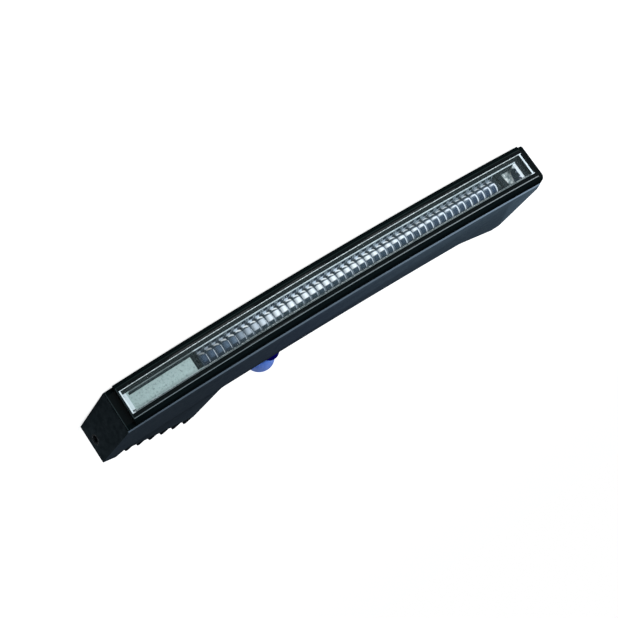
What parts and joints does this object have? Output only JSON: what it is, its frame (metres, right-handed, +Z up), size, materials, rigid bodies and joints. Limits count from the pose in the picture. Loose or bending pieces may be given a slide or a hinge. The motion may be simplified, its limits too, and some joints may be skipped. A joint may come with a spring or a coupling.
{
  "type": "daytime running light",
  "caption": "Slim bowed daytime running light with a fluted optic behind a clear window, deep end blocks, a toothed heat sink and a round rear connector.",
  "frame": {"origin": "centre of the lamp's box on X and Y, at the level of its lowest point, as it lies on its long side", "axes": "front faces -Y, +Z is up, +X runs along the lamp to its toothed end"},
  "size_m": [0.3167, 0.089, 0.028],
  "materials": {
    "housing": "fine matte grain, dark blue-grey",
    "bezel": "gloss black",
    "window": "clear, hard coated",
    "seal": "matt black",
    "frame_black": "satin black",
    "tray": "vacuum-metallised",
    "optic": "clear moulded acrylic",
    "frosted": "frosted, fine speckle",
    "reflector": "bright metallised facets",
    "board": "solder mask green",
    "light": "phosphor yellow",
    "strip": "rolled",
    "screw": "zinc plated",
    "sink": "black anodised",
    "pad": "soft grey-blue",
    "core": "ferrite",
    "can": "sleeved can",
    "chip": "moulded black",
    "header": "natural nylon",
    "socket": "dark blue moulded",
    "pin": "plated",
    "cap": "bright blue moulded",
    "vent": "black",
    "membrane": "white porous film",
    "insert": "turned"
  },
  "bodies": {
    "root": {"housing": "housing", "bezel": "bezel", "window": "window", "bezel_seal": "seal", "chamber_frame": "frame_black", "reflector_tray": "tray", "optic_bar": "optic", "frosted_panel": "frosted", "end_reflector": "reflector", "light_board": "board", "lights": "light", "carrier_strip": "strip", "strip_screws": "screw", "heat_sink": "sink", "thermal_pad": "pad", "driver_board": "board", "inductor": "core", "capacitors": "can", "driver_chips": "chip", "wire_header": "header", "board_screws": "screw", "connector_socket": "socket", "contact_pins": "pin", "socket_seal": "seal", "dust_cap": "cap", "vent_plug": "vent", "vent_membrane": "membrane", "end_insert": "insert", "back_inserts": "insert"}
  },
  "joints": []
}
